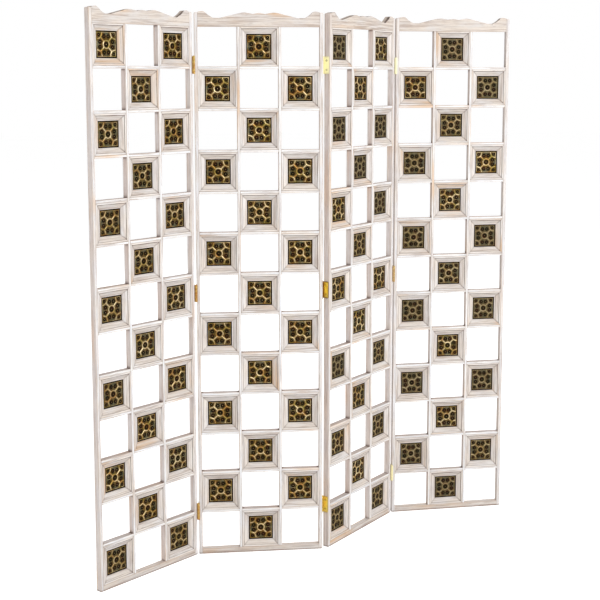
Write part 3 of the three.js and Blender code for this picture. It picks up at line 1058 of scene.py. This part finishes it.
for panel in panels.values():
    number = panel.number
    rails = grown(
        rail, IN_A_ROW, count=ROWS - 1, start=(0, 0, LATTICE_BOTTOM + PITCH - BAR / 2), step=(0, 0, PITCH),
        seed=number, material=BAR_WOOD
    )
    rails.transform(panel.axes)
    piece(f"lattice_rails_{number}", rails, panel, [f"grille_{number}"])
    for name, mesh, slot, finish, seed in insets:
        made = grown(
            mesh, EVERY_OTHER_CELL, columns=COLUMNS, rows=ROWS, pitch=PITCH, top_row=TOP_ROW, odd=number,
            seed=10 * number + seed, material=finish
        )
        made.transform(panel.axes)
        # Haze and painted glare on the tiles of this panel
        constant_mark(made, "haze_and_glare", TILE_HAZE_AND_GLARE[number])
        piece(f"{name}_{number}", made, panel, even=False)


# ---- hinges: about their own axis, with X towards the leaf's own panel, Y into the wood and Z up ----

LEAF_FACE = 0.4 * MM
LEAF_THICKNESS = 1.3 * MM
LEAF_CORNER = 3.0 * MM
KNUCKLE_GAP = 0.3 * MM
KNUCKLE_CLEARANCE = 0.4 * MM
KNUCKLES = 3
LEAF_ARRIS = 0.2 * MM
KNUCKLE_ARRIS = 0.35 * MM
TURNED_STEPS = 24
PIN_RADIUS = 1.9 * MM
BORE_CLEARANCE = 0.05 * MM

# The pin's head, from its underside up, in millimetres
PIN_HEAD = ((3.3, 0.0), (3.5, 0.3), (3.1, 0.9), (2.0, 1.3), (0.0, 1.5))

SCREWS = 2
SCREW_SPACING = 30 * MM
SCREW_RADIUS = 3.1 * MM
SCREW_RISE = 0.3 * MM
SCREW_CROWN = 0.86
SCREW_STEPS = 10
SLOT_HALF = 0.45 * MM
SCREW_RING = 1.2
SCREW_RING_RISE = 0.02 * MM

# Half sizes of a part that has no painted shade at its edges
NO_EDGE = (1.0, 1.0, 1.0)

# Each fold's hinges at the bottom, middle and top: how brown their knuckles and pins are, how dark the
# painted shade at the edges of their leaves, and how pale the painted glare makes the brass
BARREL_TARNISH = {(1, 2): (1.0, 1.0, 0.9), (2, 3): (0.1, 1.0, 0.0), (3, 4): (0.3, 1.0, 0.0)}
EDGE_SHADE_BY_FOLD = {(1, 2): (0.3, 0.3, 0.3), (2, 3): (0.4, 1.0, 0.2), (3, 4): (0.3, 0.6, 0.2)}
GLARE_BY_FOLD = {(1, 2): (0.0, 0.0, 0.0), (2, 3): (0.12, 0.0, 0.95), (3, 4): (0.7, 0.2, 0.95)}


def lathed(stock, profile, tarnish, closed=False):
    """A turned shape about Z from (radius, height) pairs."""
    count = len(profile)
    points = [
        (radius * math.cos(turn), radius * math.sin(turn), height)
        for turn in np.linspace(0, 2 * math.pi, TURNED_STEPS, endpoint=False)
        for radius, height in profile
    ]
    faces = []
    for step in range(TURNED_STEPS):
        here, there = step * count, (step + 1) % TURNED_STEPS * count
        for low in range(count if closed else count - 1):
            high = (low + 1) % count
            faces.append((here + low, there + low, there + high, here + high))
    stock.add(points, faces, grime=0.0, tarnish=tarnish, grain_at=(0, 0, 0), grain_half=NO_EDGE)


class Hinge:
    """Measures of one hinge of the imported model, read in the axes of the panel that a leaf belongs to."""

    def __init__(self, fold, place, side):
        self.name = f"hinge_{fold[0]}_{fold[1]}_{place}"
        level = HINGE_PLACES.index(place)
        self.tarnish = BARREL_TARNISH[fold][level]
        self.glare = GLARE_BY_FOLD[fold][level]
        self.edge_shade = EDGE_SHADE_BY_FOLD[fold][level]
        self.side = side
        self.panel = panels[fold[side == "right"]]
        low, high = self.panel.box(f"{self.name}_pin")
        self.axis = (low + high) / 2
        self.at_front = self.axis[1] < 0
        low, high = self.panel.box(f"{self.name}_{side}_leaf")
        self.axis[2] = (low[2] + high[2]) / 2
        self.half = (high[2] - low[2]) / 2
        near, far = (low[1], high[1]) if self.at_front else (high[1], low[1])
        self.barrel = abs(near - self.axis[1])
        self.reach = abs(far - self.axis[1])
        across = -1 if side == "left" else 1
        into = 1 if self.at_front else -1
        self.axes = self.panel.axes @ Matrix.Translation(self.axis) @ Matrix.Diagonal((across, into, 1, 1))
        self.knuckles = (0, 2) if (side == "left") == self.at_front else (1,)

    def knuckle_span(self, index):
        length = (2 * self.half - (KNUCKLES - 1) * KNUCKLE_GAP) / KNUCKLES
        foot = index * (length + KNUCKLE_GAP) - self.half
        return foot, foot + length

    def outline(self):
        """The plate from the side, as (depth, height) pairs, with a tongue to each of its own knuckles."""
        edge, half = self.barrel + KNUCKLE_CLEARANCE, self.half
        pairs = [(edge, -half)]
        pairs += arc((self.reach - LEAF_CORNER, LEAF_CORNER - half), LEAF_CORNER, -90, 0, 4)
        pairs += arc((self.reach - LEAF_CORNER, half - LEAF_CORNER), LEAF_CORNER, 0, 90, 4)
        pairs.append((edge, half))
        for index in reversed(self.knuckles):
            foot, head = self.knuckle_span(index)
            pairs += [(edge, head), (0.0, head), (0.0, foot), (edge, foot)]
        return [pair for at, pair in enumerate(pairs) if math.dist(pair, pairs[at - 1]) > 1e-6]


def hinge_leaf(hinge):
    plate = extruded(hinge.outline(), LEAF_FACE, LEAF_FACE + LEAF_THICKNESS, 0)
    points, faces = softened(plate, LEAF_ARRIS)
    near = hinge.barrel + KNUCKLE_CLEARANCE
    middle, half = ((near + hinge.reach) / 2, 0.0), ((hinge.reach - near) / 2, hinge.half)
    stock = Stock().add(
        points, faces, grime=0.0, tarnish=0.0, grain_at=points - (LEAF_FACE, *middle), grain_half=(1.0, *half)
    )
    bore, barrel, eased = PIN_RADIUS + BORE_CLEARANCE, hinge.barrel, hinge.barrel - KNUCKLE_ARRIS
    for index in hinge.knuckles:
        foot, head = hinge.knuckle_span(index)
        lathed(stock, [
            (bore, foot), (eased, foot), (barrel, foot + KNUCKLE_ARRIS),
            (barrel, head - KNUCKLE_ARRIS), (eased, head), (bore, head),
        ], hinge.tarnish, closed=True)
    return finished(stock, "hinge_leaf", 40)


def hinge_pin(hinge):
    stock = Stock()
    foot, head = -hinge.half, hinge.half + KNUCKLE_GAP
    shaft = [(0.0, foot), (PIN_RADIUS, foot), (PIN_RADIUS, head)]
    lathed(stock, shaft + [(radius * MM, head + rise * MM) for radius, rise in PIN_HEAD], hinge.tarnish)
    return finished(stock, "hinge_pin", 50)


def screw():
    """A slotted screw head about its middle, facing -X, in a dark ring."""
    stock = Stock()
    ring = arc((0, 0), SCREW_RADIUS * SCREW_RING, 0, 360, 2 * SCREW_STEPS)[:-1]
    points = [(-SCREW_RING_RISE, a, b) for a, b in ring]
    stock.add(points, [tuple(range(len(ring)))], grime=0.9, grain_half=NO_EDGE)
    start = math.degrees(math.asin(SLOT_HALF / SCREW_RADIUS))
    for side in (-1, 1):
        half = [(a, side * b) for a, b in arc((0, 0), SCREW_RADIUS, start, 180 - start, SCREW_STEPS)]
        inner = [(a * SCREW_CROWN, side * max(abs(b) * SCREW_CROWN, SLOT_HALF)) for a, b in half]
        count = len(half)
        points = [(0.0, a, b) for a, b in half] + [(-SCREW_RISE, a, b) for a, b in inner]
        faces = [tuple(range(count, 2 * count))]
        faces += [(at, (at + 1) % count, (at + 1) % count + count, at + count) for at in range(count)]
        stock.add(points, faces, grime=0.1, grain_half=NO_EDGE)
    mesh = stock.mesh("screw")
    smooth(mesh, math.radians(40))
    return mesh


def dressed_hinge(fold, place, side, head):
    """A leaf with its screws and, on the left, the pin."""
    hinge = Hinge(fold, place, side)
    name = f"{hinge.name}_{side}"
    parts = [(f"{name}_plate", hinge_leaf(hinge), [f"{name}_leaf"])]
    middle = (hinge.barrel + KNUCKLE_CLEARANCE + hinge.reach) / 2
    lowest = -SCREW_SPACING * (SCREWS - 1) / 2
    screws = grown(
        head, IN_A_ROW, count=SCREWS, start=(LEAF_FACE, middle, lowest), step=(0, 0, SCREW_SPACING), seed=1,
        material=HINGE_BRASS
    )
    parts.append((f"{name}_screws", screws, []))
    if side == "left":
        parts.append((f"{hinge.name}_dropped_pin", hinge_pin(hinge), [f"{hinge.name}_pin"]))
    for label, mesh, replaced in parts:
        mesh.transform(hinge.axes)
        if hinge.axes.determinant() < 0:
            mesh.flip_normals()
        # Painted glare and painted shade at the leaf edges, set for each hinge
        constant_mark(mesh, "glare", hinge.glare)
        constant_mark(mesh, "edge_shade", hinge.edge_shade)
        # The screws have their brass from the tree
        finishes = [HINGE_BRASS] if replaced else []
        piece(label, mesh, hinge.panel, replaced, finishes, even=False)


screw_head = screw()
for fold in FOLDS:
    for place in HINGE_PLACES:
        for side in ("left", "right"):
            dressed_hinge(fold, place, side, screw_head)


# ---- floor, light and camera ----

FLOOR_SIDE = 60
FLOOR_GREY = 0.9
FLOOR_GLOW = 0.56
SKY_LIGHT = 0.48
SKY_SEEN_EXTRA = 0.52
LIGHT_AIM = (0, 0, 0.9)

# The soft square lights: (name, place, side, power)
LIGHTS = (
    ("key", (2.8, -4.2, 3.6), 2.4, 225),
    ("fill", (-4.2, -1.6, 1.9), 3.0, 50),
    ("back", (1.2, 5.2, 3.0), 3.0, 110),
)


def floor():
    """A pale floor that glows for the camera alone."""
    bpy.ops.mesh.primitive_plane_add(size=FLOOR_SIDE, location=(0, 0, 0))
    made = bpy.context.object
    made.name = "floor"
    finish, wires, surface = material("pale_floor")
    surface.inputs["Base Color"].default_value = (FLOOR_GREY, FLOOR_GREY, FLOOR_GREY, 1)
    surface.inputs["Roughness"].default_value = 0.8
    surface.inputs["Emission Color"].default_value = (1, 1, 1, 1)
    seen = wires.out("ShaderNodeLightPath", "Is Camera Ray")
    wires.feed(surface.inputs["Emission Strength"], wires.times(seen, FLOOR_GLOW))
    made.data.materials.append(finish)


def area_light(name, place, size, power):
    data = bpy.data.lights.new(name, "AREA")
    data.shape, data.size, data.energy = "SQUARE", size, power
    made = bpy.data.objects.new(name, data)
    bpy.context.scene.collection.objects.link(made)
    made.location = place
    made.rotation_euler = (Vector(LIGHT_AIM) - Vector(place)).to_track_quat("-Z", "Y").to_euler()


def studio():
    """White all round, brighter to the camera than to the screen, and three soft lights."""
    world = bpy.data.worlds.new("studio")
    bpy.context.scene.world = world
    world.use_nodes = True
    wires = Wiring(world.node_tree)
    world.node_tree.nodes.clear()
    seen = wires.out("ShaderNodeLightPath", "Is Camera Ray")
    strength = wires.math("MULTIPLY_ADD", seen, SKY_SEEN_EXTRA, SKY_LIGHT)
    sky = wires.out("ShaderNodeBackground", 0, {"Color": (1, 1, 1, 1), "Strength": strength})
    wires.node("ShaderNodeOutputWorld", {"Surface": sky})
    for light in LIGHTS:
        area_light(*light)


def camera():
    data = bpy.data.cameras.new("camera")
    data.sensor_width = SENSOR
    data.lens = SENSOR * FOCAL_PIXELS / PICTURE_SIDE
    data.shift_y = LEVEL_SHIFT_PIXELS / PICTURE_SIDE
    made = bpy.data.objects.new("camera", data)
    bpy.context.scene.collection.objects.link(made)
    made.location = CAMERA_PLACE
    level = math.cos(CAMERA_PITCH)
    aim = Vector((math.sin(CAMERA_YAW) * level, math.cos(CAMERA_YAW) * level, math.sin(CAMERA_PITCH)))
    made.rotation_euler = aim.to_track_quat("-Z", "Y").to_euler()
    bpy.context.scene.camera = made


floor()
studio()
camera()
bpy.context.scene.view_settings.view_transform = "Standard"
